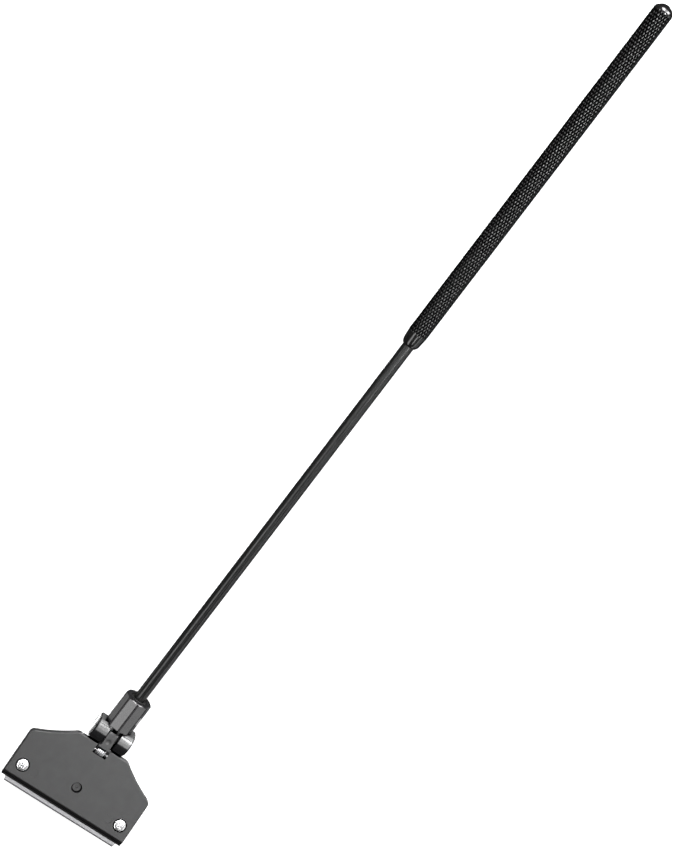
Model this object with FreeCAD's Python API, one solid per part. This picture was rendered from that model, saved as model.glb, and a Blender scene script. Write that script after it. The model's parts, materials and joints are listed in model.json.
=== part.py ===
import FreeCAD, Part
import math
import os

# Long-handled algae scraper, in millimetres.
# The handle lies along +X with its grip end towards +X, the hinge axis and the blade run
# along Y, and +Z is the side that the blade screws are driven from.  The tool rests on its
# back at Z = 0, and X = 0, Y = 0 is the middle of its length and width.

# --- handle, measured along X from the hinge axis ---
SOCKET_TOP = 31.2
GRIP_START = 322.6
GRIP_END = 577.0
ROD_R = 3.85
ROD_WALL = 0.9
ROD_SEAT = 11.0
ROD_TOP_GAP = 0.2
GRIP_R = 6.45
COLLAR_R = 5.6
COLLAR_LENGTH = 9.2
COLLAR_MOUTH = 2.0
END_CAP_LENGTH = 5.4
END_CAP_RIM = 0.5
DOME_POWER = 1.7
END_CAP_SPIGOT = 14.0
PRESS_GAP = 0.02

# --- yoke: octagonal socket and hinge barrel in one moulding ---
BARREL_R = 9.06
BARREL_LENGTH = 25.6
BARREL_EDGE = 0.25
BARREL_FLAT_X = 7.6
SOCKET_CORNER_R = 9.75
SOCKET_GROOVE_R = 0.75
SOCKET_FOOT_X = 2.5
SOCKET_FOOT_END_X = 8.0
SOCKET_FOOT_SCALE = 0.8
SOCKET_RIM_DEPTH = 0.9
SOCKET_RIM_R = 8.6
SLOT_WIDTH = 9.1
SLOT_OPEN_X = 6.4
SLOT_MOUTH_X = 8.0
SLOT_MOUTH_Z = 3.1
SLOT_WEB_R = 7.7
INDEX_STEP = 15.0
INDEX_COUNT = 4
INDEX_NOTCH_R = 0.6
EDGE = 0.6

# --- hinge pin and what holds it ---
PIN_R = 1.5
PIN_HEAD_R = 2.7
PIN_HEAD_LENGTH = 1.2
PIN_RUNNING_GAP = 0.05
END_RECESS_R = 5.0
END_RECESS_DEPTH = 3.2
CLIP_THICKNESS = 0.6
CLIP_R = 2.9
CLIP_GROOVE_R = 1.15
CAP_DEPTH = 1.0
CAP_LIP_R = 8.0
CAP_LIP_GAP = 0.15
CAP_LIP_HEIGHT = 0.5
WASHER_THICKNESS = 0.5
WASHER_R = 4.4

# --- head, in its own frame: x = 0 on the hinge axis and falling towards the blade ---
HEAD_BEND = 14.0
HUB_R = 5.0
HUB_FLAT_Z = 2.6
PLATE_TOP = 9.4
PLATE_SHOULDER = 24.5
PLATE_BOTTOM = 59.0
PLATE_HALF = 46.0
FLANGE_HALF = 19.0
SHOULDER_SAG = 1.0
SIDE_CORNER_R = 3.5
FLANGE_CORNER_R = 5.0
FRONT_Z = 3.7
JOIN_Z = 0.9
BLADE_BACK_Z = 0.3
BACK_Z = -2.9
NECK_HALF = 4.0
BACK_BEVEL = 1.6
BEVEL_STEPS = [(3.9, 0.0), (3.1, 1.1), (2.5, 1.15), (1.2, 2.65), (0.0, 2.7)]
FACE_EDGE_R = 0.7

BLADE_WIDTH = 86.0
BLADE_TOP = 33.0
BLADE_TIP = 62.1
BLADE_SLANT = 1.0
BLADE_GRIND = 1.0
BLADE_EDGE = 0.12
POCKET_GAP = 0.15

SCREW_Y = 37.8
SCREW_X = 46.9
SCREW_R = 2.0
SCREW_HEAD_R = 4.0
SCREW_HEAD_HEIGHT = 2.2
SCREW_HOLE_R = 2.2
COUNTERBORE_R = 4.6
COUNTERBORE_DEPTH = 1.3
RECESS_ARM = 2.3
RECESS_WIDTH = 0.85
RECESS_DEPTH = 1.5
NUT_ACROSS_FLATS = 7.0
NUT_HEIGHT = 2.2
NUT_POCKET_GAP = 0.1

BOSS_X = 40.9
BOSS_HOLE_R = 3.55
BOSS_R = 2.8
BOSS_TOP_Z = 1.4
BOSS_BASE_R = 3.8
BOSS_DIMPLE_R = 1.0
BOSS_DIMPLE_DEPTH = 0.5
MARK_Y = 28.8
MARK_X = 47.3
MARK_R = 2.8
MARK_DEPTH = 0.3

# --- lock tab, its pin and its spring, in the head's frame ---
NOTCH_HALF = 4.9
NOTCH_DEPTH = 6.4
NOTCH_FLOOR_Z = 0.2
TAB_PIVOT_X = 13.3
TAB_PIVOT_Z = 2.6
TAB_PIN_R = 0.75
TAB_PIN_HALF = 6.4
TAB_HALF = 3.25
TAB_TOP = 2.05
TAB_BACK_Z = 4.0
TAB_FRONT_Z = 5.6
TAB_FOOT = 10.0
FOOT_LENGTH = 1.6
TAB_CHAMFER_LENGTH = 1.1
TAB_CHAMFER_DEPTH = 0.5
TAB_MARK_X = 4.6
TAB_MARK_R = 2.1
TAB_MARK_DEPTH = 0.45
NOSE_HALF = 1.4
NOSE_TOP = 5.9
NOSE_BACK_Z = 3.2
TOOTH_START = 5.0
NOSE_FRONT_Z = 4.4
LUG_R = 1.6
LUG_SPANS = [(-4.4, -2.5), (3.8, 4.4)]
SPRING_WIRE_R = 0.36
SPRING_COIL_R = 1.95
SPRING_PITCH = 1.3
SPRING_TURNS = 4.0
SPRING_START_Y = -1.95

# --- small pieces inside the socket ---
CROSS_PIN_R = 1.25
CROSS_PIN_X = 20.0
CROSS_PIN_HALF = 7.2
PLUG_LENGTH = 8.0
SEAL_WIRE_R = 0.8
SEAL_DEPTH = 1.6

AXIS_X = FreeCAD.Vector(1, 0, 0)
AXIS_Y = FreeCAD.Vector(0, 1, 0)
AXIS_Z = FreeCAD.Vector(0, 0, 1)
ORIGIN = FreeCAD.Vector(0, 0, 0)

BEND = math.radians(HEAD_BEND)
TIP_X = -BLADE_TIP * math.cos(BEND) + BLADE_BACK_Z * math.sin(BEND)
HINGE_X = -(GRIP_END + TIP_X) / 2
HINGE_Z = SOCKET_CORNER_R - SOCKET_GROOVE_R * math.cos(math.radians(67.5))


def vec(x, y, z):
    return FreeCAD.Vector(x, y, z)


def box(x0, x1, y0, y1, z0, z1):
    return Part.makeBox(x1 - x0, y1 - y0, z1 - z0, vec(x0, y0, z0))


def bar_x(radius, x0, x1):
    return Part.makeCylinder(radius, x1 - x0, vec(x0, 0, 0), AXIS_X)


def bar_y(radius, y0, y1, x=0.0, z=0.0):
    return Part.makeCylinder(radius, y1 - y0, vec(x, y0, z), AXIS_Y)


def bar_z(radius, z0, z1, x, y):
    return Part.makeCylinder(radius, z1 - z0, vec(x, y, z0), AXIS_Z)


def revolve_x(outline):
    """Solid of revolution about the handle axis from (x, radius) points."""
    points = [vec(x, 0, r) for x, r in outline]
    face = Part.Face(Part.makePolygon(points + [points[0]]))
    return face.revolve(ORIGIN, AXIS_X, 360)


def prism(outline, axis_map, length):
    points = [axis_map(a, b) for a, b in outline]
    face = Part.Face(Part.makePolygon(points + [points[0]]))
    return face.extrude(length)


def octagon(radius, x):
    corners = [math.radians(45 * i) for i in range(9)]
    return Part.makePolygon([vec(x, radius * math.cos(a), radius * math.sin(a)) for a in corners])


def handle_place(shape):
    shape.translate(vec(HINGE_X, 0, HINGE_Z))
    return shape


def head_place(shape):
    shape.rotate(ORIGIN, AXIS_Y, HEAD_BEND)
    return handle_place(shape)


def group(shapes):
    return Part.makeCompound(shapes)


# ---------------------------------------------------------------- handle

def make_rod():
    top = GRIP_END - END_CAP_LENGTH - ROD_TOP_GAP
    tube = bar_x(ROD_R, ROD_SEAT, top).cut(bar_x(ROD_R - ROD_WALL, ROD_SEAT - 1, top + 1))
    return tube.cut(bar_y(CROSS_PIN_R + PRESS_GAP, -BARREL_R, BARREL_R, CROSS_PIN_X))


def make_rod_lower_plug():
    plug = bar_x(ROD_R - ROD_WALL - PRESS_GAP, ROD_SEAT + 0.5, ROD_SEAT + 0.5 + PLUG_LENGTH - 1)
    return plug.makeChamfer(0.4, [e for e in plug.Edges if isinstance(e.Curve, Part.Circle)])


def make_rod_cross_pin():
    return bar_y(CROSS_PIN_R, -CROSS_PIN_HALF, CROSS_PIN_HALF, CROSS_PIN_X)


def make_socket_seal():
    centre = vec(SOCKET_TOP - SEAL_DEPTH / 2, 0, 0)
    return Part.makeTorus(ROD_R + SEAL_WIRE_R, SEAL_WIRE_R - PRESS_GAP, centre, AXIS_X)


def make_socket():
    foot = Part.makeLoft([octagon(SOCKET_CORNER_R * SOCKET_FOOT_SCALE, SOCKET_FOOT_X),
                          octagon(SOCKET_CORNER_R, SOCKET_FOOT_END_X)], True)
    body = Part.Face(octagon(SOCKET_CORNER_R, SOCKET_FOOT_END_X)).extrude(
        vec(SOCKET_TOP - SOCKET_FOOT_END_X, 0, 0))
    socket = foot.fuse(body)
    for i in range(8):
        a = math.radians(45 * i)
        groove = bar_x(SOCKET_GROOVE_R, -1, SOCKET_TOP + 1)
        groove.translate(vec(0, SOCKET_CORNER_R * math.cos(a), SOCKET_CORNER_R * math.sin(a)))
        socket = socket.cut(groove)
    rim = revolve_x([(SOCKET_FOOT_X - 1, 0), (SOCKET_FOOT_X - 1, SOCKET_CORNER_R),
                     (SOCKET_TOP - SOCKET_RIM_DEPTH, SOCKET_CORNER_R), (SOCKET_TOP, SOCKET_RIM_R),
                     (SOCKET_TOP, 0)])
    return socket.common(rim)


def make_barrel():
    half = BARREL_LENGTH / 2
    barrel = bar_y(BARREL_R, -half, half)
    rims = [e for e in barrel.Edges if isinstance(e.Curve, Part.Circle)]
    barrel = barrel.makeChamfer(BARREL_EDGE, rims)
    above_flat = box(BARREL_FLAT_X, BARREL_R + 1, -half - 1, half + 1, -BARREL_R - 1, BARREL_R + 1)
    return barrel.cut(above_flat)


def make_slot():
    half = SLOT_WIDTH / 2
    reach = SOCKET_CORNER_R + 1
    slot = box(-reach, SLOT_OPEN_X, -half, half, -reach, reach)
    slot = slot.fuse(bar_y(SLOT_WEB_R, -half, half))
    slot = slot.fuse(box(0, SLOT_MOUTH_X, -half, half, SLOT_MOUTH_Z, reach))
    tooth_angle = math.atan2((NOSE_BACK_Z + NOSE_FRONT_Z) / 2, NOSE_TOP) - BEND
    for i in range(INDEX_COUNT):
        a = tooth_angle - math.radians(INDEX_STEP * i)
        slot = slot.fuse(bar_y(INDEX_NOTCH_R, -half, half, SLOT_WEB_R * math.cos(a),
                               SLOT_WEB_R * math.sin(a)))
    return slot


def make_yoke():
    yoke = make_socket().fuse(make_barrel()).cut(make_slot())
    half = BARREL_LENGTH / 2
    yoke = yoke.cut(bar_y(PIN_R + PIN_RUNNING_GAP, -half - 1, half + 1))
    for side in (-1, 1):
        y_in, y_out = sorted((side * (half - END_RECESS_DEPTH), side * (half + 1)))
        yoke = yoke.cut(bar_y(END_RECESS_R, y_in, y_out))
    yoke = yoke.cut(bar_x(ROD_R + PRESS_GAP, ROD_SEAT, SOCKET_TOP + 1))
    yoke = yoke.cut(bar_x(ROD_R + 2 * SEAL_WIRE_R, SOCKET_TOP - SEAL_DEPTH, SOCKET_TOP + 1))
    return yoke.cut(bar_y(CROSS_PIN_R + PRESS_GAP, -CROSS_PIN_HALF - PRESS_GAP,
                          CROSS_PIN_HALF + PRESS_GAP, CROSS_PIN_X)).removeSplitter()


def pin_ends():
    """Y of the pin's head seat and of its far end, both inside the recesses."""
    half = BARREL_LENGTH / 2
    seat = half - END_RECESS_DEPTH
    return seat, half - CAP_DEPTH - PRESS_GAP


def make_hinge_pin():
    seat, end = pin_ends()
    pin = bar_y(PIN_R, -end + PRESS_GAP, seat + PIN_HEAD_LENGTH)
    pin = pin.fuse(bar_y(PIN_HEAD_R, seat, seat + PIN_HEAD_LENGTH)).removeSplitter()
    groove = bar_y(PIN_R + 1, -seat - CLIP_THICKNESS - PRESS_GAP, -seat)
    return pin.cut(groove.cut(bar_y(CLIP_GROOVE_R, -seat - 2, -seat + 1)))


def make_hinge_clip():
    seat = pin_ends()[0]
    clip = bar_y(CLIP_R, -seat - CLIP_THICKNESS, -seat)
    clip = clip.cut(bar_y(CLIP_GROOVE_R + PRESS_GAP, -seat - 2, -seat + 1))
    mouth = CLIP_GROOVE_R * 0.8
    return clip.cut(box(0, CLIP_R + 1, -seat - 2, -seat + 1, -mouth, mouth))


def make_hinge_cap(side):
    half = BARREL_LENGTH / 2
    plug = bar_y(END_RECESS_R - PRESS_GAP, half - CAP_DEPTH, half + CAP_LIP_GAP)
    seat = half + CAP_LIP_GAP
    lip = bar_y(CAP_LIP_R, seat, seat + CAP_LIP_HEIGHT)
    lip = lip.makeChamfer(CAP_LIP_HEIGHT * 0.6,
                          [e for e in lip.Edges if e.BoundBox.YMin > seat + CAP_LIP_HEIGHT / 2])
    cap = plug.fuse(lip).common(box(-BARREL_R, BARREL_FLAT_X - EDGE, 0, BARREL_LENGTH,
                                    -BARREL_R, BARREL_R))
    if side < 0:
        cap = cap.mirror(ORIGIN, AXIS_Y)
    return cap


def make_hinge_washer(side):
    outer = SLOT_WIDTH / 2 - PRESS_GAP
    y_in, y_out = sorted((side * (outer - WASHER_THICKNESS), side * outer))
    return bar_y(WASHER_R, y_in, y_out).cut(bar_y(PIN_R + PIN_RUNNING_GAP, y_in - 1, y_out + 1))


def make_grip_collar():
    bore = ROD_R + PRESS_GAP
    outline = [(0, bore), (0, bore + 0.3), (COLLAR_MOUTH * 0.8, COLLAR_R - 0.2),
               (COLLAR_MOUTH, COLLAR_R), (COLLAR_LENGTH / 2, (COLLAR_R + GRIP_R) / 2 + 0.1),
               (COLLAR_LENGTH, GRIP_R), (COLLAR_LENGTH, bore)]
    return revolve_x([(GRIP_START + x, r) for x, r in outline])


def make_grip_sleeve():
    start = GRIP_START + COLLAR_LENGTH
    end = GRIP_END - END_CAP_LENGTH
    return bar_x(GRIP_R, start, end).cut(bar_x(ROD_R + PRESS_GAP, start - 1, end + 1))


def make_grip_end_cap():
    start = GRIP_END - END_CAP_LENGTH
    height = END_CAP_LENGTH - END_CAP_RIM
    shares = [0.0, 0.2, 0.4, 0.6, 0.8, 0.93, 1.0]
    radii = [GRIP_R * (1 - share ** DOME_POWER) ** (1 / DOME_POWER) for share in shares]
    points = [vec(start + END_CAP_RIM + height * share, 0, r) for share, r in zip(shares, radii)]
    dome = Part.BSplineCurve()
    dome.interpolate(points, InitialTangent=AXIS_X, FinalTangent=AXIS_Z * -1)
    spigot = ROD_R - ROD_WALL - PRESS_GAP
    corners = [points[-1], vec(start - END_CAP_SPIGOT, 0, 0), vec(start - END_CAP_SPIGOT, 0, spigot),
               vec(start, 0, spigot), vec(start, 0, GRIP_R), points[0]]
    outline = Part.Wire([dome.toShape()] + Part.makePolygon(corners).Edges)
    return Part.Face(outline).revolve(ORIGIN, AXIS_X, 360)


# ---------------------------------------------------------------- head

def plate_outline(top, z0, z1):
    """Plate blank with slightly hollow shoulders, rounded at its four upper corners."""
    corners = [vec(-PLATE_BOTTOM, side * PLATE_HALF, z0) for side in (-1, 1)]
    shoulders = [vec(-PLATE_SHOULDER, side * PLATE_HALF, z0) for side in (-1, 1)]
    flange = [vec(-top, side * FLANGE_HALF, z0) for side in (-1, 1)]
    edges = [Part.makeLine(corners[1], corners[0]), Part.makeLine(corners[0], shoulders[0])]
    slope = vec(flange[0].x - shoulders[0].x, flange[0].y - shoulders[0].y, 0).normalize()
    inward = vec(-slope.y, slope.x, 0)
    if inward.x > 0:
        inward = inward * -1
    middle = (shoulders[0] + flange[0]) * 0.5 + inward * SHOULDER_SAG
    edges.append(Part.Arc(shoulders[0], middle, flange[0]).toShape())
    edges.append(Part.makeLine(flange[0], flange[1]))
    edges.append(Part.Arc(flange[1], vec(middle.x, -middle.y, z0), shoulders[1]).toShape())
    edges.append(Part.makeLine(shoulders[1], corners[1]))
    blank = Part.Face(Part.Wire(edges)).extrude(vec(0, 0, z1 - z0))
    blank = round_uprights(blank, -PLATE_SHOULDER, PLATE_HALF, SIDE_CORNER_R)
    return round_uprights(blank, -top, FLANGE_HALF, FLANGE_CORNER_R)


def round_uprights(solid, x, y, radius):
    """Fillet the two upright edges that stand at (x, +y) and (x, -y)."""
    near = []
    for edge in solid.Edges:
        b = edge.BoundBox
        upright = b.XLength < 1e-3 and b.YLength < 1e-3
        if upright and abs(b.XMin - x) < 1e-2 and abs(abs(b.YMin) - y) < 1e-2:
            near.append(edge)
    return solid.makeFillet(radius, near)


def bevel_cutter(steps, face_z, towards):
    """Wedge that cuts a stepped bevel along the plates' bottom edge."""
    points = [(-PLATE_BOTTOM + up, face_z - towards * down) for up, down in steps]
    outside_z = face_z + towards * 1.0
    points = [(points[0][0], outside_z)] + points
    points += [(-PLATE_BOTTOM - 1, points[-1][1]), (-PLATE_BOTTOM - 1, outside_z)]
    y0 = -PLATE_HALF - 1
    return prism(points, lambda x, z: vec(x, y0, z), vec(0, 2 * (PLATE_HALF + 1), 0))


def face_rim(solid, z):
    """Outer edges of one plate face, without the bottom edge."""
    rim = []
    for edge in solid.Edges:
        b = edge.BoundBox
        on_face = abs(b.ZMin - z) < 1e-3 and abs(b.ZMax - z) < 1e-3
        if on_face and b.XMax > -PLATE_BOTTOM + 0.5:
            rim.append(edge)
    return rim


def make_front_plate():
    plate = plate_outline(PLATE_TOP, JOIN_Z, FRONT_Z)
    plate = plate.makeFillet(FACE_EDGE_R, face_rim(plate, FRONT_Z))
    plate = plate.cut(bevel_cutter(BEVEL_STEPS, FRONT_Z, 1))
    plate = plate.cut(box(-PLATE_TOP - NOTCH_DEPTH, 0, -NOTCH_HALF, NOTCH_HALF, 0, FRONT_Z + 1))
    for side in (-1, 1):
        y = side * SCREW_Y
        plate = plate.cut(bar_z(SCREW_HOLE_R, JOIN_Z - 1, FRONT_Z + 1, -SCREW_X, y))
        plate = plate.cut(bar_z(COUNTERBORE_R, FRONT_Z - COUNTERBORE_DEPTH, FRONT_Z + 1, -SCREW_X, y))
        plate = plate.cut(bar_z(MARK_R, FRONT_Z - MARK_DEPTH, FRONT_Z + 1, -MARK_X, side * MARK_Y))
    plate = plate.cut(bar_z(BOSS_HOLE_R, JOIN_Z - 1, FRONT_Z + 1, -BOSS_X, 0))
    gap = TAB_PIN_R + PRESS_GAP
    seat = bar_y(gap, -TAB_PIN_HALF - PRESS_GAP, TAB_PIN_HALF + PRESS_GAP, -TAB_PIVOT_X, TAB_PIVOT_Z)
    way_in = box(-TAB_PIVOT_X - gap, -TAB_PIVOT_X + gap, -TAB_PIN_HALF - PRESS_GAP,
                 TAB_PIN_HALF + PRESS_GAP, 0, TAB_PIVOT_Z)
    return plate.cut(seat.fuse(way_in))


def make_hub():
    """Hinge knuckle on the back plate, flattened in front where the lock tab needs room."""
    half = SLOT_WIDTH / 2 - WASHER_THICKNESS - 2 * PRESS_GAP
    hub = bar_y(HUB_R, -half, half)
    neck = box(-PLATE_TOP - NOTCH_DEPTH, 0, -NECK_HALF, NECK_HALF, BACK_Z, NOTCH_FLOOR_Z)
    hub = hub.fuse(neck)
    return hub.cut(box(-HUB_R - 1, HUB_R + 1, -half - 1, half + 1, HUB_FLAT_Z, HUB_R + 1))


def make_back_plate():
    plate = plate_outline(PLATE_TOP, BACK_Z, JOIN_Z)
    plate = plate.makeChamfer(EDGE, face_rim(plate, BACK_Z))
    plate = plate.cut(bevel_cutter([(BACK_BEVEL, 0.0), (0.0, BACK_BEVEL)], BACK_Z, -1))
    pocket_half = BLADE_WIDTH / 2 + POCKET_GAP
    plate = plate.cut(box(-PLATE_BOTTOM - 1, -BLADE_TOP + POCKET_GAP, -pocket_half, pocket_half,
                          BLADE_BACK_Z, JOIN_Z + 1))
    plate = plate.cut(box(-PLATE_TOP - NOTCH_DEPTH, 0, -NOTCH_HALF, NOTCH_HALF,
                          NOTCH_FLOOR_Z, JOIN_Z + 1))
    plate = plate.fuse(make_hub())
    plate = plate.cut(bar_y(PIN_R + PIN_RUNNING_GAP, -NOTCH_HALF, NOTCH_HALF))
    boss = bar_z(BOSS_R, BLADE_BACK_Z - 0.2, BOSS_TOP_Z, -BOSS_X, 0)
    boss = boss.fuse(bar_z(BOSS_BASE_R, BLADE_BACK_Z - 0.2, JOIN_Z, -BOSS_X, 0))
    plate = plate.fuse(boss.cut(bar_z(BOSS_DIMPLE_R, BOSS_TOP_Z - BOSS_DIMPLE_DEPTH,
                                      BOSS_TOP_Z + 1, -BOSS_X, 0)))
    for side in (-1, 1):
        plate = plate.cut(bar_z(SCREW_HOLE_R, BACK_Z - 1, JOIN_Z + 1, -SCREW_X, side * SCREW_Y))
        plate = plate.cut(make_hex(side, NUT_POCKET_GAP, BACK_Z - 1))
    return plate.removeSplitter()


def make_hex(side, gap, z0):
    radius = (NUT_ACROSS_FLATS / 2 + gap) / math.cos(math.radians(30))
    corners = [math.radians(60 * i) for i in range(6)]
    outline = [(-SCREW_X + radius * math.cos(a), side * SCREW_Y + radius * math.sin(a))
               for a in corners]
    return prism(outline, lambda x, y: vec(x, y, z0), vec(0, 0, BACK_Z + NUT_HEIGHT - z0))


def make_clamp_nut(side):
    nut = make_hex(side, 0.0, BACK_Z)
    cone = Part.makeCone(NUT_ACROSS_FLATS / 2, NUT_ACROSS_FLATS / 2 + NUT_HEIGHT, NUT_HEIGHT,
                         vec(-SCREW_X, side * SCREW_Y, BACK_Z), AXIS_Z)
    return nut.common(cone).cut(bar_z(SCREW_R + PRESS_GAP, BACK_Z - 1, JOIN_Z, -SCREW_X,
                                      side * SCREW_Y))


def make_clamp_screw(side):
    seat = FRONT_Z - COUNTERBORE_DEPTH
    y = side * SCREW_Y
    shank = bar_z(SCREW_R, BACK_Z + 0.2, seat, -SCREW_X, y)
    head = bar_z(SCREW_HEAD_R, seat, seat + SCREW_HEAD_HEIGHT, -SCREW_X, y)
    top_rim = [e for e in head.Edges if e.BoundBox.ZMin > seat + SCREW_HEAD_HEIGHT / 2]
    head = head.makeFillet(SCREW_HEAD_HEIGHT * 0.6, top_rim)
    top = seat + SCREW_HEAD_HEIGHT
    for dx, dy in ((RECESS_ARM, RECESS_WIDTH / 2), (RECESS_WIDTH / 2, RECESS_ARM)):
        head = head.cut(box(-SCREW_X - dx, -SCREW_X + dx, y - dy, y + dy, top - RECESS_DEPTH, top + 1))
    return head.fuse(shank).removeSplitter()


def make_blade():
    """Steel strip with slightly slanted ends and a cutting edge ground on its front."""
    half = BLADE_WIDTH / 2
    outline = [(-BLADE_TOP, -half), (-BLADE_TOP, half), (-PLATE_BOTTOM, half),
               (-BLADE_TIP, half - BLADE_SLANT), (-BLADE_TIP, -half + BLADE_SLANT),
               (-PLATE_BOTTOM, -half)]
    thickness = JOIN_Z - BLADE_BACK_Z
    blade = prism(outline, lambda x, y: vec(x, y, BLADE_BACK_Z), vec(0, 0, thickness))
    ground = [(-BLADE_TIP + BLADE_GRIND, JOIN_Z), (-BLADE_TIP - 0.01, BLADE_BACK_Z + BLADE_EDGE),
              (-BLADE_TIP - 0.01, JOIN_Z + 1), (-BLADE_TIP + BLADE_GRIND, JOIN_Z + 1)]
    blade = blade.cut(prism(ground, lambda x, z: vec(x, -half - 1, z), vec(0, 2 * half + 2, 0)))
    for side in (-1, 1):
        blade = blade.cut(bar_z(SCREW_HOLE_R, 0, JOIN_Z + 1, -SCREW_X, side * SCREW_Y))
    return blade.cut(bar_z(BOSS_BASE_R + PRESS_GAP, 0, JOIN_Z + 1, -BOSS_X, 0))


def make_lock_tab():
    side_view = [(-TAB_FOOT, TAB_BACK_Z), (TAB_TOP, TAB_BACK_Z),
                 (TAB_TOP, TAB_FRONT_Z - TAB_CHAMFER_DEPTH),
                 (TAB_TOP - TAB_CHAMFER_LENGTH, TAB_FRONT_Z), (-TAB_FOOT, TAB_FRONT_Z)]
    tab = prism(side_view, lambda x, z: vec(x, -TAB_HALF, z), vec(0, 2 * TAB_HALF, 0))
    dish_r = (TAB_MARK_R ** 2 + TAB_MARK_DEPTH ** 2) / (2 * TAB_MARK_DEPTH)
    tab = tab.cut(Part.makeSphere(dish_r, vec(-TAB_MARK_X, 0, TAB_FRONT_Z + dish_r - TAB_MARK_DEPTH)))
    nose = box(-TAB_FOOT / 3, NOSE_TOP, -NOSE_HALF, NOSE_HALF, TAB_BACK_Z - 0.1, NOSE_FRONT_Z)
    tooth = box(TOOTH_START, NOSE_TOP, -NOSE_HALF, NOSE_HALF, NOSE_BACK_Z, NOSE_FRONT_Z)
    foot = box(-TAB_FOOT, -TAB_FOOT + FOOT_LENGTH, LUG_SPANS[0][0], LUG_SPANS[-1][1],
               TAB_BACK_Z, TAB_FRONT_Z)
    tab = tab.fuse(nose).fuse(tooth).fuse(foot)
    for y0, y1 in LUG_SPANS:
        lug = bar_y(LUG_R, y0, y1, -TAB_PIVOT_X, TAB_PIVOT_Z)
        arm = prism([(-TAB_PIVOT_X - LUG_R, TAB_PIVOT_Z), (-TAB_PIVOT_X, TAB_PIVOT_Z - LUG_R),
                     (-TAB_FOOT + FOOT_LENGTH, TAB_BACK_Z), (-TAB_FOOT + FOOT_LENGTH, TAB_FRONT_Z),
                     (-TAB_FOOT, TAB_FRONT_Z)],
                    lambda x, z: vec(x, y0, z), vec(0, y1 - y0, 0))
        tab = tab.fuse(lug).fuse(arm)
    bore = bar_y(TAB_PIN_R + PIN_RUNNING_GAP, -NOTCH_HALF, NOTCH_HALF, -TAB_PIVOT_X, TAB_PIVOT_Z)
    return tab.cut(bore).removeSplitter()


def make_tab_pin():
    return bar_y(TAB_PIN_R, -TAB_PIN_HALF, TAB_PIN_HALF, -TAB_PIVOT_X, TAB_PIVOT_Z)


def make_tab_spring():
    """Torsion spring wound round the tab pin, with one short leg at each end."""
    height = SPRING_PITCH * SPRING_TURNS
    helix = Part.makeHelix(SPRING_PITCH, height, SPRING_COIL_R)
    start = vec(SPRING_COIL_R, 0, 0)
    section = Part.Wire(Part.makeCircle(SPRING_WIRE_R, start, AXIS_Y))
    coil = Part.Wire(helix.Edges).makePipeShell([section], True, True)
    coil.rotate(ORIGIN, AXIS_X, -90)
    coil.translate(vec(-TAB_PIVOT_X, SPRING_START_Y, TAB_PIVOT_Z))
    return coil


def build():
    both = (-1, 1)
    handle = {
        "rod": make_rod(),
        "rod_lower_plug": make_rod_lower_plug(),
        "rod_cross_pin": make_rod_cross_pin(),
        "socket_seal": make_socket_seal(),
        "yoke": make_yoke(),
        "hinge_pin": make_hinge_pin(),
        "hinge_clip": make_hinge_clip(),
        "hinge_caps": group([make_hinge_cap(side) for side in both]),
        "grip_collar": make_grip_collar(),
        "grip_sleeve": make_grip_sleeve(),
        "grip_end_cap": make_grip_end_cap(),
    }
    head = {
        "back_plate": make_back_plate(),
        "front_plate": make_front_plate(),
        "blade": make_blade(),
        "clamp_screws": group([make_clamp_screw(side) for side in both]),
        "clamp_nuts": group([make_clamp_nut(side) for side in both]),
        "hinge_washers": group([make_hinge_washer(side) for side in both]),
        "lock_tab": make_lock_tab(),
        "tab_pin": make_tab_pin(),
        "tab_spring": make_tab_spring(),
    }
    nodes = {name: handle_place(shape) for name, shape in handle.items()}
    nodes.update({name: head_place(shape) for name, shape in head.items()})
    return nodes


os.makedirs("parts", exist_ok=True)
for node_name, node_shape in build().items():
    node_shape.exportStep(os.path.join("parts", node_name + ".step"))
    print(node_name, len(node_shape.Solids), round(node_shape.Volume, 2), node_shape.isValid())
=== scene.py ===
import json
import math

import bmesh
import bpy
from mathutils import Matrix, Vector


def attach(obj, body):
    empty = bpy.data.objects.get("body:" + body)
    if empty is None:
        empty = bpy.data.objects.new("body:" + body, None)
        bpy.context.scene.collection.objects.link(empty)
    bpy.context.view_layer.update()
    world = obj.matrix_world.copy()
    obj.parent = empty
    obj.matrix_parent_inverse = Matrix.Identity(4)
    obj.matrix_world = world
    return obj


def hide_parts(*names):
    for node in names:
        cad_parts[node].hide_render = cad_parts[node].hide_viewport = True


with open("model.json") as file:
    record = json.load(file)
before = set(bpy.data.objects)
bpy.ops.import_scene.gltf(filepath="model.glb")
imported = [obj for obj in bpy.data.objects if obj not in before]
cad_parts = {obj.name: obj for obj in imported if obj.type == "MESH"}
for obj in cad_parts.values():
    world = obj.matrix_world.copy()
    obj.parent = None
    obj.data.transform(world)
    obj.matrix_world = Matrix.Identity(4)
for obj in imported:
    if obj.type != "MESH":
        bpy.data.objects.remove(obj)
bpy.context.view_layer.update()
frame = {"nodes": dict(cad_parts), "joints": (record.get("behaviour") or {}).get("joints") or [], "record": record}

# A long-handled algae scraper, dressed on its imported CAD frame.  Blender works in metres; the
# pieces below are drawn in millimetres in one of two frames, both with their origin on the hinge
# axis: the handle's (x along the handle) and the head's (x towards the hinge, z out of its face).
MM = 0.001

RECORD = frame["record"]
NODES = frame["nodes"]
SLOT_OF = {s["node"]: s["material_slot"] for s in RECORD["subparts"]}
HINGE = Vector(next(j["pos_m"] for j in frame["joints"] if j["name"] == "head_pivot"))
BACK_FACE = next(m for m in RECORD["mounts"] if m["name"] == "head_back_face")["axis"]
HEAD_BEND = math.atan2(-BACK_FACE[0], -BACK_FACE[2])
TO_HANDLE = Matrix.Translation(HINGE)
TO_HEAD = TO_HANDLE @ Matrix.Rotation(HEAD_BEND, 4, "Y")


# ------------------------------------------------------------------ materials

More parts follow.
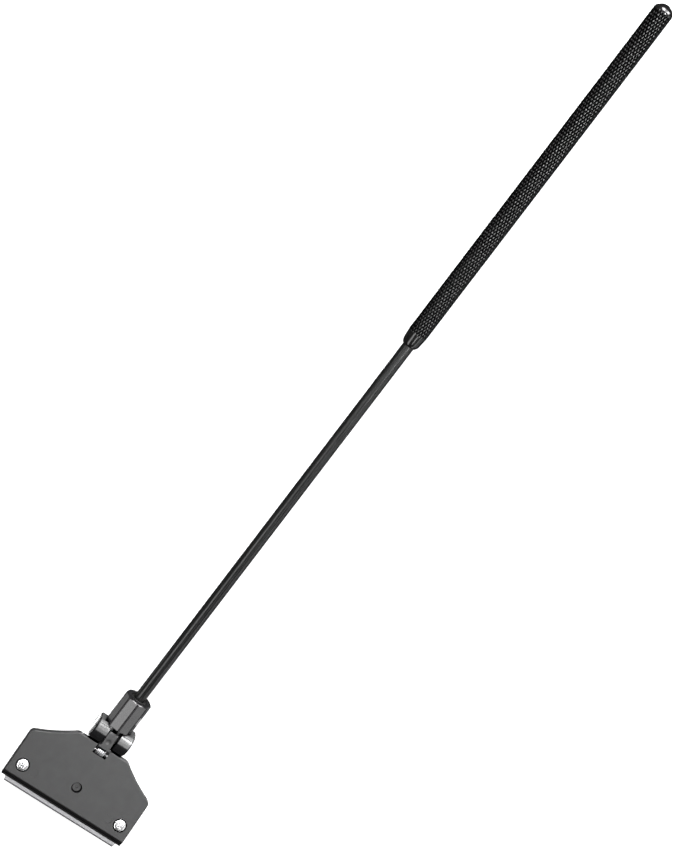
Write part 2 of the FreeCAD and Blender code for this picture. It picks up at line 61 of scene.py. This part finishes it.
NOISE_ROUGHNESS = 0.55
GAP_SAMPLES = 12
# painted shade: as a mesh's painted-shade values run from the first to the second of these, its colour and shine
# fall from full to none
PAINTED_SHADE_FROM = 0.15
PAINTED_SHADE_TO = 0.75


class Paint:
    """A node material with one Principled shader, and short ways to drive its sockets."""

    def __init__(self, name, base, roughness, metallic=0.0, specular=0.5):
        self.material = bpy.data.materials.new(name)
        self.material.use_nodes = True
        self.tree = self.material.node_tree
        self.shader = self.tree.nodes["Principled BSDF"]
        self.set("Base Color", (*base, 1.0))
        self.set("Roughness", roughness)
        self.set("Metallic", metallic)
        self.set("Specular IOR Level", specular)
        self.place = self.tree.nodes.new("ShaderNodeTexCoord").outputs["Object"]

    def set(self, socket, value):
        self.shader.inputs[socket].default_value = value

    def link(self, out, into):
        self.tree.links.new(out, into)

    def stretched(self, scale, turn=0.0):
        """Object coordinates scaled by (x, y, z), after a turn about Y."""
        mapping = self.tree.nodes.new("ShaderNodeMapping")
        mapping.inputs["Scale"].default_value = scale
        mapping.inputs["Rotation"].default_value = (0.0, turn, 0.0)
        self.link(self.place, mapping.inputs["Vector"])
        return mapping.outputs["Vector"]

    def noise(self, scale, detail=4.0, vector=None):
        node = self.tree.nodes.new("ShaderNodeTexNoise")
        node.inputs["Scale"].default_value = scale
        node.inputs["Detail"].default_value = detail
        node.inputs["Roughness"].default_value = NOISE_ROUGHNESS
        self.link(vector or self.place, node.inputs["Vector"])
        return node.outputs["Fac"]

    def ramp(self, fac, stops):
        """Maps fac through (position, value) stops; a value is a grey or an RGB colour."""
        node = self.tree.nodes.new("ShaderNodeValToRGB")
        elements = node.color_ramp.elements
        while len(elements) < len(stops):
            elements.new(0.5)
        for element, (position, value) in zip(elements, stops):
            element.position = position
            grey = isinstance(value, (int, float))
            element.color = (value, value, value, 1.0) if grey else (*value, 1.0)
        self.link(fac, node.inputs["Fac"])
        return node.outputs["Color"]

    def drive(self, socket, out):
        self.link(out, self.shader.inputs[socket])

    def paint_gap_shade(self, reach, dark, light):
        """Paints shade into the colour and the shine: darkens them inside gaps and grooves, looking as far
        as reach in metres, and wherever a mesh's own painted-shade values rise."""
        node = self.tree.nodes.new("ShaderNodeAmbientOcclusion")
        node.samples = GAP_SAMPLES
        node.inputs["Distance"].default_value = reach
        painted_shade = self.tree.nodes.new("ShaderNodeAttribute")
        painted_shade.attribute_name = "painted_shade"
        seen = self.tree.nodes.new("ShaderNodeMath")
        seen.operation = "MULTIPLY"
        gap_shade = self.ramp(node.outputs["AO"], [(dark, 0.0), (light, 1.0)])
        marked_shade = self.ramp(painted_shade.outputs["Fac"], [(PAINTED_SHADE_FROM, 1.0), (PAINTED_SHADE_TO, 0.0)])
        self.link(gap_shade, seen.inputs[0])
        self.link(marked_shade, seen.inputs[1])
        openness = seen.outputs[0]
        colour = self.shader.inputs["Base Color"]
        mix = self.tree.nodes.new("ShaderNodeMix")
        mix.data_type = "RGBA"
        mix.blend_type = "MULTIPLY"
        mix.inputs["Factor"].default_value = 1.0
        mix.inputs["A"].default_value = colour.default_value
        if colour.is_linked:
            self.link(colour.links[0].from_socket, mix.inputs["A"])
        self.link(openness, mix.inputs["B"])
        self.link(mix.outputs["Result"], colour)
        shine = self.tree.nodes.new("ShaderNodeMath")
        shine.operation = "MULTIPLY"
        shine.inputs[0].default_value = self.shader.inputs["Specular IOR Level"].default_value
        self.link(openness, shine.inputs[1])
        self.drive("Specular IOR Level", shine.outputs[0])

    def bump(self, heights):
        """Stacks bumps from (height output, distance in metres, strength)."""
        normal = None
        for height, distance, strength in heights:
            node = self.tree.nodes.new("ShaderNodeBump")
            node.inputs["Distance"].default_value = distance
            node.inputs["Strength"].default_value = strength
            self.link(height, node.inputs["Height"])
            if normal is not None:
                self.link(normal, node.inputs["Normal"])
            normal = node.outputs["Normal"]
        self.link(normal, self.shader.inputs["Normal"])


def gloss_black():
    p = Paint("gloss_black", (0.012, 0.012, 0.013), 0.16)
    p.drive("Roughness", p.ramp(p.noise(700.0), [(0.3, 0.13), (0.7, 0.2)]))
    p.drive("Base Color", p.ramp(p.noise(160.0), [(0.3, (0.009, 0.009, 0.010)),
                                                  (0.7, (0.015, 0.015, 0.016))]))
    p.bump([(p.noise(1.0, 3.0, p.stretched((60.0, 500.0, 500.0))), 0.00003, 0.3),
            (p.noise(3500.0, 2.0), 0.000003, 0.5)])
    # painted shade: colour and shine darkened in gaps and grooves
    p.paint_gap_shade(0.005, 0.5, 0.88)
    return p.material


def matte_grey():
    p = Paint("matte_grey", (0.033, 0.033, 0.034), 0.4, specular=0.4)
    p.drive("Base Color", p.ramp(p.noise(140.0, 6.0), [(0.3, (0.022, 0.022, 0.0225)),
                                                       (0.7, (0.028, 0.028, 0.0285))]))
    p.drive("Roughness", p.ramp(p.noise(1500.0), [(0.3, 0.34), (0.7, 0.44)]))
    p.bump([(p.noise(260.0, 3.0), 0.00005, 0.4), (p.noise(5000.0, 2.0), 0.00002, 0.5)])
    # painted shade: colour and shine darkened in gaps and grooves
    p.paint_gap_shade(0.003, 0.42, 0.62)
    return p.material


def satin_rod():
    p = Paint("satin_rod", (0.006, 0.006, 0.006), 0.28, specular=0.4)
    drawn_lines = p.noise(1.0, 5.0, p.stretched((60.0, 900.0, 900.0)))
    p.drive("Roughness", p.ramp(drawn_lines, [(0.3, 0.22), (0.7, 0.34)]))
    p.bump([(p.noise(1.0, 3.0, p.stretched((120.0, 700.0, 700.0))), 0.00002, 0.4),
            (p.noise(2500.0, 3.0), 0.00001, 0.4)])
    return p.material


def vinyl_grip():
    p = Paint("vinyl_grip", (0.005, 0.005, 0.005), 0.16)
    p.drive("Roughness", p.ramp(p.noise(500.0), [(0.3, 0.12), (0.7, 0.22)]))
    p.drive("Base Color", p.ramp(p.noise(90.0), [(0.3, (0.004, 0.004, 0.004)),
                                                 (0.7, (0.006, 0.006, 0.006))]))
    p.bump([(p.noise(900.0, 3.0), 0.00002, 0.3), (p.noise(3000.0, 3.0), 0.00001, 0.4)])
    # painted shade: colour and shine darkened in the pits between the lozenges
    p.paint_gap_shade(0.0012, 0.55, 0.9)
    return p.material


def ground_steel():
    p = Paint("ground_steel", (0.225, 0.225, 0.23), 0.45, metallic=1.0)
    grain = p.noise(1.0, 6.0, p.stretched((4000.0, 60.0, 4000.0), HEAD_BEND))
    p.drive("Roughness", p.ramp(grain, [(0.3, 0.36), (0.7, 0.54)]))
    p.bump([(grain, 0.00001, 0.5)])
    return p.material


def bright_plate():
    p = Paint("bright_plate", (0.85, 0.85, 0.86), 0.22, metallic=1.0)
    p.drive("Roughness", p.ramp(p.noise(1500.0), [(0.3, 0.18), (0.7, 0.34)]))
    p.bump([(p.noise(2500.0, 3.0), 0.00001, 0.5)])
    # painted shade: colour and shine darkened in the cross recesses
    p.paint_gap_shade(0.0012, 0.35, 0.75)
    return p.material


def pin_steel():
    p = Paint("pin_steel", (0.5, 0.5, 0.51), 0.25, metallic=1.0)
    p.drive("Roughness", p.ramp(p.noise(1500.0), [(0.3, 0.2), (0.7, 0.36)]))
    return p.material


def black_rubber():
    p = Paint("black_rubber", (0.01, 0.01, 0.01), 0.5)
    p.drive("Roughness", p.ramp(p.noise(900.0), [(0.3, 0.42), (0.7, 0.6)]))
    return p.material


PAINTS = {
    "black_gloss_plastic": gloss_black(),
    "dark_grey_plastic": matte_grey(),
    "rod_black": satin_rod(),
    "grip_black": vinyl_grip(),
    "stainless_blade": ground_steel(),
    "bright_screw": bright_plate(),
    "stainless_pin": pin_steel(),
    "seal_rubber": black_rubber(),
    "nylon_washer": black_rubber(),
}

for name, node in NODES.items():
    for index in range(len(node.material_slots)):
        node.material_slots[index].material = PAINTS[SLOT_OF[name]]


# ------------------------------------------------------------------ making pieces

WELD_DISTANCE = 0.002
FLAT_ANGLE = 0.5
HARD_EDGE_ANGLE = 25.0
EASE_STEPS = 3
WIRE_SIDES = 12


def add_object(name, mesh):
    piece = bpy.data.objects.new(name, mesh)
    bpy.context.scene.collection.objects.link(piece)
    return piece


def drawn(name, vertices, faces, place, smooth_angle=35.0):
    """Piece from vertices in millimetres, placed by a 4x4 matrix in metres."""
    mesh = bpy.data.meshes.new(name)
    mesh.from_pydata([tuple(MM * c for c in v) for v in vertices], [], faces)
    mesh.transform(place)
    mesh.validate()
    mesh.shade_smooth()
    mesh.set_sharp_from_angle(angle=math.radians(smooth_angle))
    return add_object(name, mesh)


def stand_for(piece, body, node):
    """Gives the piece its CAD node's material slot and body, and lets it replace the node."""
    slot = SLOT_OF[node]
    piece.data.materials.clear()
    piece.data.materials.append(PAINTS[slot])
    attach(piece, body)
    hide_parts(node)


def settle(piece):
    """Applies the piece's modifiers."""
    graph = bpy.context.evaluated_depsgraph_get()
    mesh = bpy.data.meshes.new_from_object(piece.evaluated_get(graph))
    old = piece.data
    piece.modifiers.clear()
    piece.data = mesh
    bpy.data.meshes.remove(old)
    return piece


def welded_copy(node, name):
    """Copy of a CAD node's mesh with its seams closed and its flat faces joined up."""
    form = bmesh.new()
    form.from_mesh(NODES[node].data)
    bmesh.ops.remove_doubles(form, verts=form.verts, dist=WELD_DISTANCE * MM)
    bmesh.ops.dissolve_limit(form, angle_limit=math.radians(FLAT_ANGLE), verts=form.verts, edges=form.edges)
    mesh = bpy.data.meshes.new(name)
    form.to_mesh(mesh)
    form.free()
    mesh.shade_smooth()
    return add_object(name, mesh)


def eased_copy(node, name, radius, steps=EASE_STEPS):
    """Copy of a CAD node with every hard edge rounded to a radius in millimetres."""
    piece = welded_copy(node, name)
    bevel = piece.modifiers.new("ease", "BEVEL")
    bevel.width = radius * MM
    bevel.segments = steps
    bevel.limit_method = "ANGLE"
    bevel.angle_limit = math.radians(HARD_EDGE_ANGLE)
    bevel.use_clamp_overlap = True
    bevel.miter_outer = "MITER_ARC"
    normals = piece.modifiers.new("normals", "WEIGHTED_NORMAL")
    normals.weight = 60
    normals.keep_sharp = True
    return settle(piece)


def mark_painted_shade(piece, amount, inside):
    """Writes how much painted shade darkens each point, for the points where inside says so in head coordinates.
    """
    painted_shade = piece.data.attributes.new("painted_shade", "FLOAT", "POINT")
    from_head = (TO_HEAD @ Matrix.Scale(MM, 4)).inverted()
    for vertex in piece.data.vertices:
        painted_shade.data[vertex.index].value = amount * inside(from_head @ vertex.co)


def lathe(outline, steps):
    """Closed surface of (along X, radius) points turned about the X axis."""
    vertices, rows = [], []
    for x, r in outline:
        if r < 1e-6:
            rows.append([len(vertices)] * steps)
            vertices.append((x, 0.0, 0.0))
            continue
        rows.append([len(vertices) + k for k in range(steps)])
        for k in range(steps):
            a = 2 * math.pi * k / steps
            vertices.append((x, r * math.cos(a), r * math.sin(a)))
    faces = []
    for low, high in zip(rows, rows[1:] + rows[:1]):
        for k in range(steps):
            n = (k + 1) % steps
            corners = [low[k], low[n], high[n], high[k]]
            corners = [c for i, c in enumerate(corners) if c != corners[i - 1]]
            if len(corners) > 2:
                faces.append(corners)
    return vertices, faces


def wire(points, radius):
    """Round wire along a list of points, with flat ends."""
    points = [Vector(p) for p in points]
    last = len(points) - 1
    vertices, faces = [], []
    across = None
    for i, p in enumerate(points):
        ahead = (points[min(i + 1, last)] - points[max(i - 1, 0)]).normalized()
        if across is None:
            across = ahead.orthogonal().normalized()
        across = (across - ahead * across.dot(ahead)).normalized()
        over = ahead.cross(across)
        for k in range(WIRE_SIDES):
            a = 2 * math.pi * k / WIRE_SIDES
            vertices.append(p + radius * (math.cos(a) * across + math.sin(a) * over))
    for i in range(last):
        for k in range(WIRE_SIDES):
            n = (k + 1) % WIRE_SIDES
            near, far = i * WIRE_SIDES, (i + 1) * WIRE_SIDES
            faces.append([near + k, near + n, far + n, far + k])
    faces.append(list(range(WIRE_SIDES))[::-1])
    faces.append([last * WIRE_SIDES + k for k in range(WIRE_SIDES)])
    return vertices, faces


# ------------------------------------------------------------------ grip

ROD_R = 3.85
BORE_R = 3.87
GRIP_R = 6.45
GRIP_START = 322.6
COLLAR_LENGTH = 9.2
CAP_START = 571.6
GRIP_TIP = 577.0
TURNED_STEPS = 112
RELIEF = 0.4
LOZENGE_LENGTH = 4.57
LOZENGES_ROUND = 22
LOZENGE_STEPS = [0.0, 0.12, 0.32, 0.68, 0.88, 1.0]


def lozenge_height(u, v):
    """Height of the raised lozenge over its cell, from 0 in the valleys to about 1."""
    a, b = abs(2 * u - 1), abs(2 * v - 1)
    level = (a ** 4 + b ** 4) ** 0.25
    rise = min(max((0.85 - level) / 0.34, 0.0), 1.0)
    rise = rise * rise * (3 - 2 * rise)
    return 0.94 * rise + 0.06 * max(1 - level * level, 0.0)


def make_grip():
    """Sleeve moulded all over with staggered lozenges, cut square at both ends."""
    start, end = GRIP_START + COLLAR_LENGTH, CAP_START
    form = bmesh.new()
    painted_shade = form.verts.layers.float.new("painted_shade")
    n = len(LOZENGE_STEPS)
    half_turn = math.pi / LOZENGES_ROUND
    rows = int(math.ceil((end - start) / LOZENGE_LENGTH * 2)) + 2
    for row in range(-1, rows):
        for column in range(LOZENGES_ROUND):
            middle_x = start + row * LOZENGE_LENGTH / 2
            middle_a = (2 * column + (row % 2)) * half_turn
            grid = []
            for u in LOZENGE_STEPS:
                line = []
                for v in LOZENGE_STEPS:
                    x = middle_x + (u + v - 1) * LOZENGE_LENGTH / 2
                    a = middle_a + (u - v) * half_turn
                    depth = 1 - lozenge_height(u, v)
                    r = GRIP_R - RELIEF * depth
                    line.append(form.verts.new((x, r * math.cos(a), r * math.sin(a))))
                    # painted shade: the deeper a point lies between the lozenges, the more its colour and shine
                    # are darkened
                    line[-1][painted_shade] = depth
                grid.append(line)
            for i in range(n - 1):
                for j in range(n - 1):
                    form.faces.new((grid[i][j], grid[i + 1][j], grid[i + 1][j + 1], grid[i][j + 1]))
    bmesh.ops.remove_doubles(form, verts=form.verts, dist=0.001)
    for x, outward in ((start, -1), (end, 1)):
        geometry = form.verts[:] + form.edges[:] + form.faces[:]
        bmesh.ops.bisect_plane(form, geom=geometry, dist=1e-5, plane_co=(x, 0, 0),
                               plane_no=(outward, 0, 0), clear_outer=True)
    rims = []
    for x in (start, end):
        loop = [e for e in form.edges if e.is_boundary and abs(e.verts[0].co.x - x) < 0.01]
        inner = bmesh.ops.extrude_edge_only(form, edges=loop)["geom"]
        for vert in (g for g in inner if isinstance(g, bmesh.types.BMVert)):
            vert.co.y, vert.co.z = Vector((vert.co.y, vert.co.z)).normalized() * BORE_R
        rims += [g for g in inner if isinstance(g, bmesh.types.BMEdge) and g.is_boundary]
    bmesh.ops.bridge_loops(form, edges=rims)
    bmesh.ops.recalc_face_normals(form, faces=form.faces)
    form.transform(TO_HANDLE @ Matrix.Scale(MM, 4))
    mesh = bpy.data.meshes.new("grip")
    form.to_mesh(mesh)
    form.free()
    mesh.shade_smooth()
    mesh.set_sharp_from_angle(angle=math.radians(60.0))
    stand_for(add_object("grip", mesh), "handle", "grip_sleeve")


def make_grip_foot():
    """Plain tapered foot of the grip, with a rounded mouth where the rod comes out."""
    outline = [(0.25, BORE_R), (0.05, BORE_R + 0.12), (0.0, BORE_R + 0.3), (0.08, BORE_R + 0.52),
               (0.5, 4.72), (1.0, 5.08), (1.5, 5.38), (1.9, 5.56), (2.4, 5.67)]
    for k in range(1, 13):
        t = k / 12
        outline.append((2.4 + t * (COLLAR_LENGTH - 2.4), 5.67 + (GRIP_R - 0.1 - 5.67) * (t ** 0.82)))
    outline += [(COLLAR_LENGTH, BORE_R)]
    vertices, faces = lathe([(GRIP_START + x, r) for x, r in outline], TURNED_STEPS)
    stand_for(drawn("grip_foot", vertices, faces, TO_HANDLE), "handle", "grip_collar")


def make_grip_dome():
    """Smooth blunt end of the grip, with the spigot that holds it in the tube."""
    rim, height = 0.5, GRIP_TIP - CAP_START - 0.5
    outline = [(CAP_START - 14.0, 0.0), (CAP_START - 14.0, 2.6), (CAP_START - 13.6, 2.92),
               (CAP_START, 2.92), (CAP_START, GRIP_R - 0.12), (CAP_START + 0.12, GRIP_R)]
    for k in range(28):
        share = math.sin(math.pi / 2 * k / 28)
        outline.append((CAP_START + rim + height * share, GRIP_R * (1 - share ** 1.7) ** (1 / 1.7)))
    outline.append((GRIP_TIP, 0.0))
    vertices, faces = lathe(outline, TURNED_STEPS)
    stand_for(drawn("grip_dome", vertices, faces, TO_HANDLE), "handle", "grip_end_cap")


make_grip()
make_grip_foot()
make_grip_dome()


# ------------------------------------------------------------------ yoke

stand_for(eased_copy("yoke", "yoke_moulding", 0.3), "handle", "yoke")
stand_for(eased_copy("hinge_caps", "barrel_caps", 0.15), "handle", "hinge_caps")


# ------------------------------------------------------------------ head

# Painted shade: the stepped bevel along the cover's bottom, and the lever's nose in under the socket, lie in the
# dark, and their colour and shine are painted darker for it.
BEVEL_TOP_X = -55.2
BEVEL_FACE_Z = 3.0
BEVEL_PAINTED_SHADE = 0.62
NOSE_START_X = 2.0
NOSE_FACE_Z = 4.7

front_cover = eased_copy("front_plate", "front_cover", 0.15)
# painted shade on the cover's bottom bevel
mark_painted_shade(front_cover, BEVEL_PAINTED_SHADE, lambda at: at.x < BEVEL_TOP_X and at.z < BEVEL_FACE_Z)
stand_for(front_cover, "head", "front_plate")
stand_for(eased_copy("back_plate", "back_cover", 0.28), "head", "back_plate")
lock_lever = eased_copy("lock_tab", "lock_lever", 0.22)
# painted shade on the lever's nose, in under the socket
mark_painted_shade(lock_lever, 1.0, lambda at: at.x > NOSE_START_X and at.z < NOSE_FACE_Z)
stand_for(lock_lever, "lock", "lock_tab")
stand_for(eased_copy("blade", "cutting_blade", 0.05, 2), "head", "blade")

SCREW_X = -46.9
SCREW_Y = 37.8
SCREW_SEAT = 2.4
SCREW_TOP = 4.6
SCREW_END = -2.7


def phillips_cutter():
    """Four-winged tapered recess, deeper in the middle, pointing down -z from z = 0."""
    form = bmesh.new()
    for turn in (0.0, math.pi / 2):
        rings = []
        for z, arm, half in ((0.4, 2.62, 0.56), (0.0, 2.4, 0.46), (-1.1, 1.2, 0.34), (-1.7, 0.35, 0.25)):
            corners = [(-arm, -half * 0.7), (-arm * 0.75, -half), (arm * 0.75, -half), (arm, -half * 0.7),
                       (arm, half * 0.7), (arm * 0.75, half), (-arm * 0.75, half), (-arm, half * 0.7)]
            rings.append([form.verts.new((x * math.cos(turn) - y * math.sin(turn),
                                          x * math.sin(turn) + y * math.cos(turn), z)) for x, y in corners])
        for low, high in zip(rings, rings[1:]):
            for k in range(8):
                form.faces.new((low[k], low[(k + 1) % 8], high[(k + 1) % 8], high[k]))
        form.faces.new(rings[0])
        form.faces.new(rings[-1])
    bmesh.ops.recalc_face_normals(form, faces=form.faces)
    form.transform(Matrix.Scale(MM, 4))
    mesh = bpy.data.meshes.new("recess")
    form.to_mesh(mesh)
    form.free()
    return add_object("recess", mesh)


def make_screw(side, turn):
    """Pan-head screw with a cross recess, its head turned by an angle in degrees."""
    head = [(SCREW_END, 0.0), (SCREW_END, 1.6), (SCREW_END + 0.4, 2.0), (SCREW_SEAT, 2.0),
            (SCREW_SEAT, 3.8), (SCREW_SEAT + 0.12, 3.96), (SCREW_SEAT + 0.7, 4.0)]
    shoulder = SCREW_SEAT + 0.7
    for k in range(1, 9):
        a = math.pi / 2 * k / 9
        head.append((shoulder + 1.0 * math.sin(a), 2.9 + 1.1 * math.cos(a)))
    head += [(4.42, 2.2), (4.52, 1.5), (4.58, 0.8), (SCREW_TOP, 0.0)]
    vertices, faces = lathe(head, 64)
    upright = Matrix.Rotation(-math.pi / 2, 4, "Y")
    piece = drawn("screw_left" if side > 0 else "screw_right", vertices, faces, upright, 40.0)
    cutter = phillips_cutter()
    cutter.location = (0.0, 0.0, SCREW_TOP * MM)
    bpy.context.view_layer.update()
    cut = piece.modifiers.new("recess", "BOOLEAN")
    cut.operation = "DIFFERENCE"
    cut.solver = "EXACT"
    cut.use_self = True
    cut.object = cutter
    ease = piece.modifiers.new("ease", "BEVEL")
    ease.width = 0.06 * MM
    ease.segments = 2
    ease.limit_method = "ANGLE"
    ease.angle_limit = math.radians(40.0)
    settle(piece)
    bpy.data.objects.remove(cutter)
    spot = Vector((SCREW_X, side * SCREW_Y, 0.0)) * MM
    place = TO_HEAD @ Matrix.Translation(spot) @ Matrix.Rotation(math.radians(turn), 4, "Z")
    piece.data.transform(place)
    piece.data.shade_smooth()
    piece.data.set_sharp_from_angle(angle=math.radians(50.0))
    return piece


for side, turn in ((1, 47.0), (-1, 38.0)):
    stand_for(make_screw(side, turn), "head", "clamp_screws")


COIL_CENTRE = Vector((-13.05, 0.0, 2.9))
COIL_R = 2.2
COIL_WIRE_R = 0.4
COIL_TURNS = 4.5
COIL_STEPS = 20
COIL_FROM_Y = 3.35
COIL_TO_Y = -1.95


def make_lock_spring():
    """Torsion spring on the lever's pin, with one leg reaching in under the lever."""
    points = []
    for k in range(int(COIL_TURNS * COIL_STEPS) + 1):
        a = -math.pi / 2 - 2 * math.pi * k / COIL_STEPS
        y = COIL_FROM_Y + (COIL_TO_Y - COIL_FROM_Y) * k / (COIL_TURNS * COIL_STEPS)
        points.append(COIL_CENTRE + Vector((COIL_R * math.cos(a), y, COIL_R * math.sin(a))))
    end = points[-1]
    points += [end + Vector((1.2, -0.1, 0.15)), end + Vector((2.4, -0.2, 0.4))]
    vertices, faces = wire(points, COIL_WIRE_R)
    stand_for(drawn("lock_spring", vertices, faces, TO_HEAD), "head", "tab_spring")


make_lock_spring()


# ------------------------------------------------------------------ stage

FLOOR_HALF = 6.0
FLOOR_GLOW = 0.85
WORLD_STRENGTH = 0.1


def make_floor():
    """White table, which glossy surfaces do not mirror."""
    mesh = bpy.data.meshes.new("floor")
    corners = [(x * FLOOR_HALF, y * FLOOR_HALF, 0) for x, y in ((-1, -1), (1, -1), (1, 1), (-1, 1))]
    mesh.from_pydata(corners, [], [(0, 1, 2, 3)])
    floor = add_object("floor", mesh)
    white = Paint("floor_white", (0.9, 0.9, 0.9), 0.9)
    white.set("Emission Color", (1.0, 1.0, 1.0, 1.0))
    white.set("Emission Strength", FLOOR_GLOW)
    mesh.materials.append(white.material)
    floor.visible_glossy = False


def area_light(name, place, aim, size, power, glossy=True, diffuse=True, along=(1.0, 0.0, 0.0)):
    """Softbox at place facing aim, its first side lying as near to a direction as it can."""
    data = bpy.data.lights.new(name, "AREA")
    data.shape = "RECTANGLE"
    data.size, data.size_y = size
    data.energy = power
    lamp = bpy.data.objects.new(name, data)
    back = (Vector(place) - Vector(aim)).normalized()
    side = Vector(along)
    side = (side - back * side.dot(back)).normalized()
    turn = Matrix((side, back.cross(side), back)).transposed().to_4x4()
    lamp.matrix_world = Matrix.Translation(place) @ turn
    lamp.visible_glossy = glossy
    lamp.visible_diffuse = diffuse
    lamp.visible_camera = False
    bpy.context.scene.collection.objects.link(lamp)


def make_world(strength):
    world = bpy.data.worlds.new("studio")
    world.use_nodes = True
    background = world.node_tree.nodes["Background"]
    background.inputs["Color"].default_value = (1.0, 1.0, 1.0, 1.0)
    background.inputs["Strength"].default_value = strength
    bpy.context.scene.world = world


VIEW_AZIMUTH = 131.07
VIEW_ELEVATION = 72.70
VIEW_TURN = -174.898
VIEW_DISTANCE = 1.24326
AIM_PAST_HINGE = 0.25681
AIM_Y = 0.00455
SENSOR_WIDTH = 36.0
LENS = 84.8


def make_camera():
    """Looks down on the middle of the tool, from beside its head and with the head lower left."""
    azimuth, elevation, turn = (math.radians(a) for a in (VIEW_AZIMUTH, VIEW_ELEVATION, VIEW_TURN))
    aim = Vector((HINGE.x + AIM_PAST_HINGE, AIM_Y, HINGE.z))
    data = bpy.data.cameras.new("camera")
    data.sensor_width = SENSOR_WIDTH
    data.lens = LENS
    data.clip_start = 0.01
    camera = bpy.data.objects.new("camera", data)
    bpy.context.scene.collection.objects.link(camera)
    towards = Vector((math.sin(azimuth) * math.cos(elevation),
                      -math.cos(azimuth) * math.cos(elevation), math.sin(elevation)))
    level = towards.to_track_quat("Z", "Y").to_matrix().to_4x4()
    stand = Matrix.Translation(aim + towards * VIEW_DISTANCE)
    camera.matrix_world = stand @ level @ Matrix.Rotation(-turn, 4, "Z")
    bpy.context.scene.camera = camera


# name, place, aim, size in metres and power in watts
SOFT_BOXES = [
    ("key", (1.5, 0.7, 1.3), (0, 0, 0), (1.0, 1.0), 62.0),
    ("fill", (0.9, -0.9, 1.3), (0, 0, 0), (2.0, 2.0), 20.0),
]

# boxes seen only in reflections, their first side lying along the handle
MIRRORED_BOXES = [
    ("hinge_strip", (-0.1, -0.3, 1.3), (-0.1, -0.3, 0), (1.0, 0.2), 5.0),
    ("far_strip", (1.05, -0.35, 1.3), (1.05, -0.35, 0), (0.86, 0.26), 5.6),
    ("grip_strip", (0.24, -0.19, 0.55), (0.24, -0.19, 0), (0.44, 0.05), 4.6),
    ("grip_broad", (0.16, -0.05, 0.8), (0.16, -0.05, 0), (0.5, 1.1), 5.5),
    ("socket_left", (-0.75, 0.72, 1.0), (-0.26, 0, 0), (0.9, 0.4), 7.0),
    ("socket_right", (-0.55, -1.15, 0.75), (-0.26, 0, 0), (0.9, 0.36), 3.0),
    ("foot_left", (-1.54, 0.52, 0.59), (-0.26, 0, 0), (0.35, 0.35), 3.0),
    ("foot_right", (-1.41, -0.93, 0.27), (-0.26, 0, 0), (0.35, 0.35), 2.0),
    ("grip_left", (0.25, 1.25, 0.87), (0.2, 0, 0), (0.7, 0.3), 10.0),
    ("grip_right", (0.25, -1.2, 0.6), (0.2, 0, 0), (0.7, 0.25), 2.4),
    ("low_right", (-0.2, -1.5, 0.12), (-0.2, 0, 0), (2.4, 0.22), 4.0),
    ("under_left", (-0.2345, 0.045, 0.0005), (-0.2345, 0.045, 1.0), (0.07, 0.045), 0.011),
    ("under_right", (-0.2345, -0.035, 0.0005), (-0.2345, -0.035, 1.0), (0.07, 0.035), 0.0065),
    ("under_end", (-0.2655, 0.0147, 0.0006), (-0.2655, 0.0147, 1.0), (0.03, 0.0009), 0.0005),
    ("under_ears", (-0.246, 0.0, 0.0006), (-0.246, 0.0, 1.0), (0.006, 0.034), 0.0006),
]

# boxes seen only in reflections, their first side lying across the handle
CROSS_BOXES = [
    ("end", (1.5, -0.32, 0.55), (-0.2, 0, 0), (0.4, 0.8), 9.0),
    ("end_core", (1.2, -0.3, 0.78), (-0.2, 0, 0), (0.5, 0.1), 3.0),
    ("end_left", (1.6, 0.35, 0.6), (-0.2, 0, 0), (0.7, 1.0), 60.0),
    ("end_right", (1.6, -1.0, 0.6), (-0.2, 0, 0), (0.7, 1.0), 60.0),
]

make_floor()
make_world(WORLD_STRENGTH)
for box in SOFT_BOXES:
    area_light(*box, glossy=False)
for box in MIRRORED_BOXES:
    area_light(*box, diffuse=False)
for box in CROSS_BOXES:
    area_light(*box, diffuse=False, along=(0.0, 1.0, 0.0))
make_camera()
bpy.context.scene.view_settings.view_transform = "Standard"
